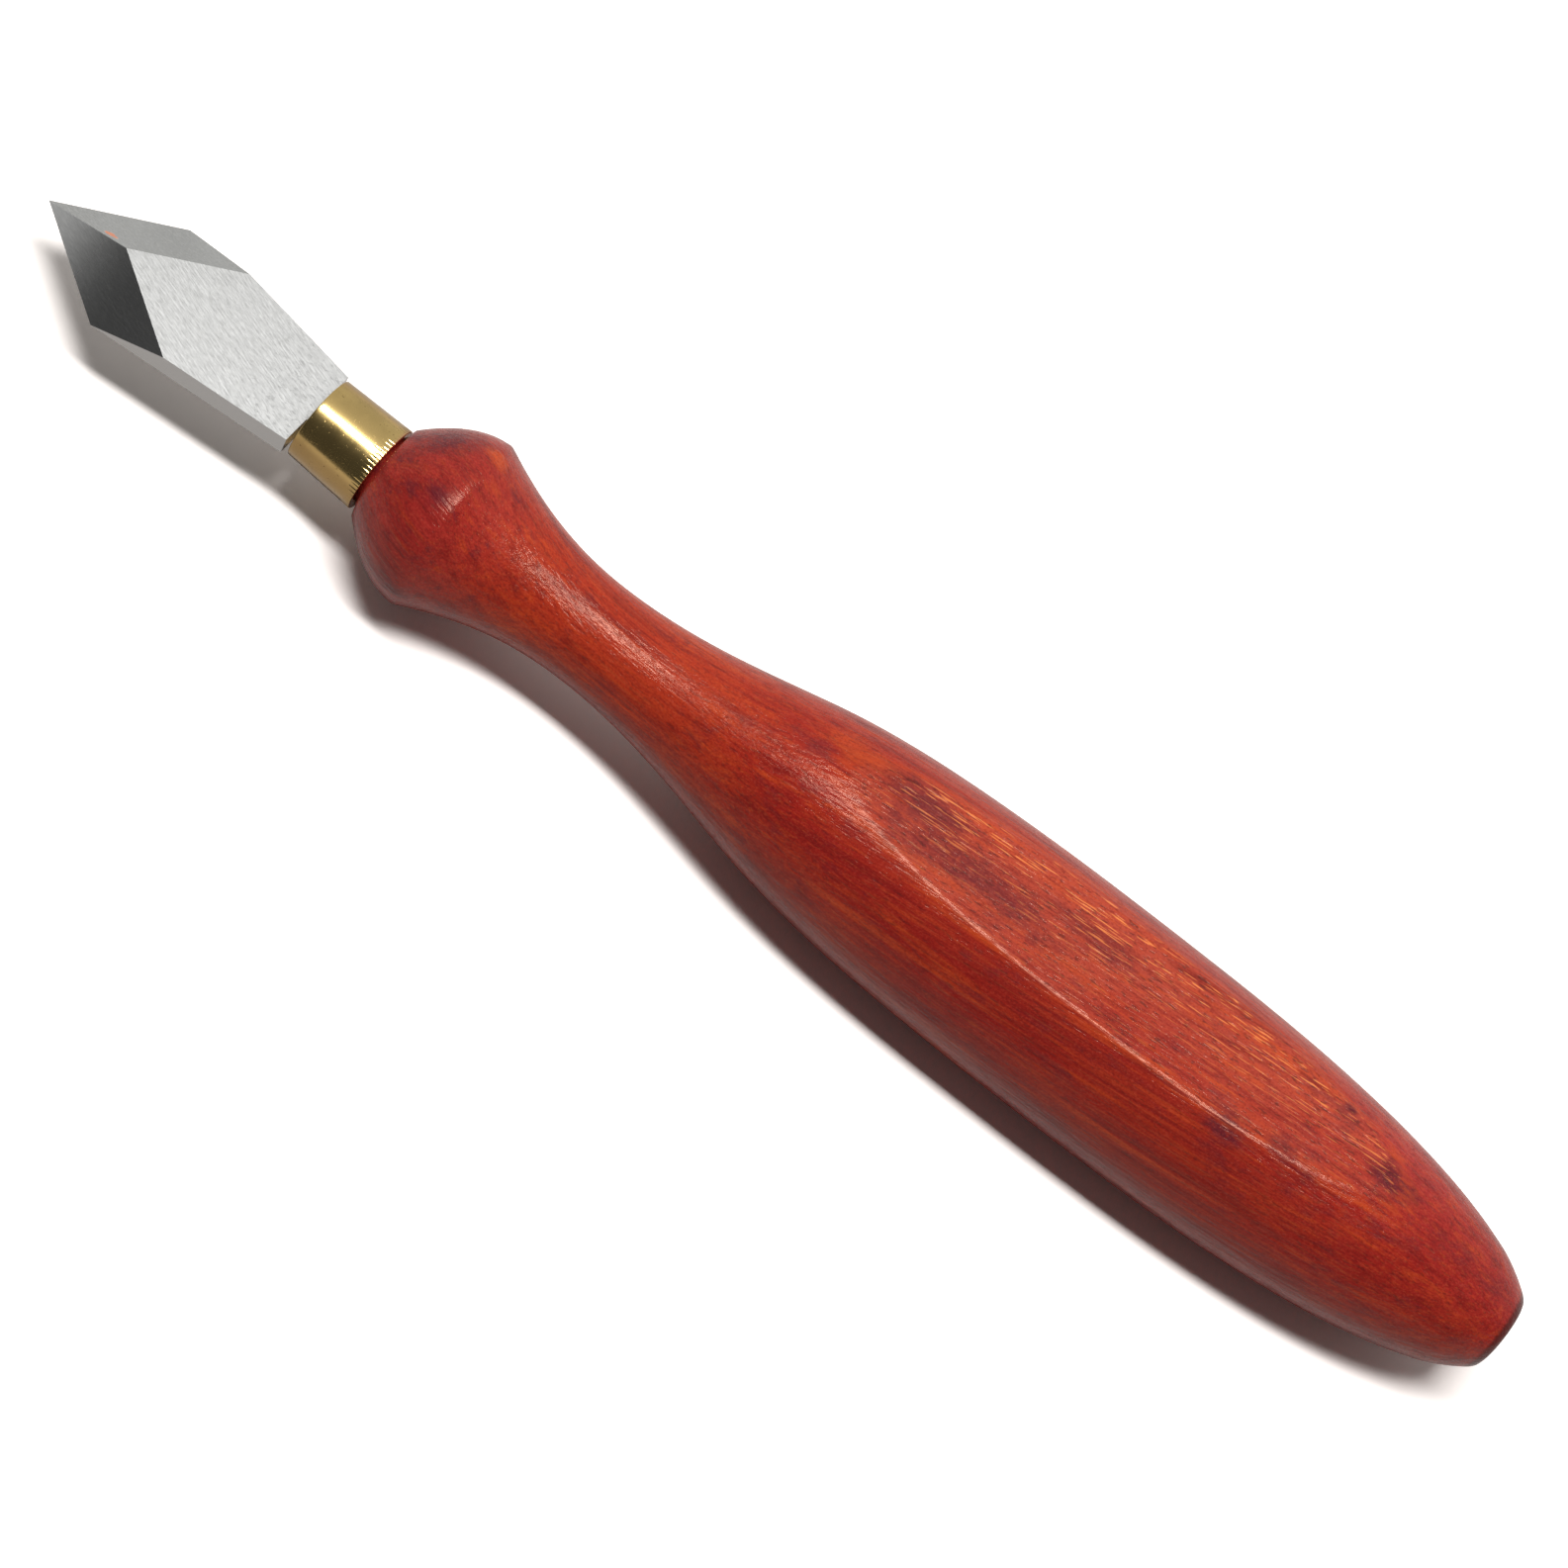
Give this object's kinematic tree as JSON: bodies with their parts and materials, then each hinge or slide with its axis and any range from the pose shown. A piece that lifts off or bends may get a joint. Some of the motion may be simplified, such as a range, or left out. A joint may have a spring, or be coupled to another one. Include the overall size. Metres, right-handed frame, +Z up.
{
  "type": "lino cutting knife",
  "caption": "Fixed-blade hand cutter: spear-point bevelled steel blade, brass ferrule and turned, red-stained hardwood handle with planed flats.",
  "frame": {"origin": "midway along the tool, on its centre line, on the plane that the handle's lower flat rests on", "axes": "+X along the tool from the blade's point to the butt, +Z up, square to the handle's flats and to the blade's faces, +Y across the blade"},
  "size_m": [0.19, 0.0246, 0.0214],
  "materials": {
    "blade_steel": "ground, with fine scratches along the blade",
    "ferrule_brass": "polished, lightly pitted",
    "stained_wood": "red stain under a thin satin finish",
    "adhesive": "set, dull"
  },
  "bodies": {
    "root": {"blade": "blade_steel", "ferrule": "ferrule_brass", "handle": "stained_wood", "tang_epoxy": "adhesive"}
  },
  "joints": []
}
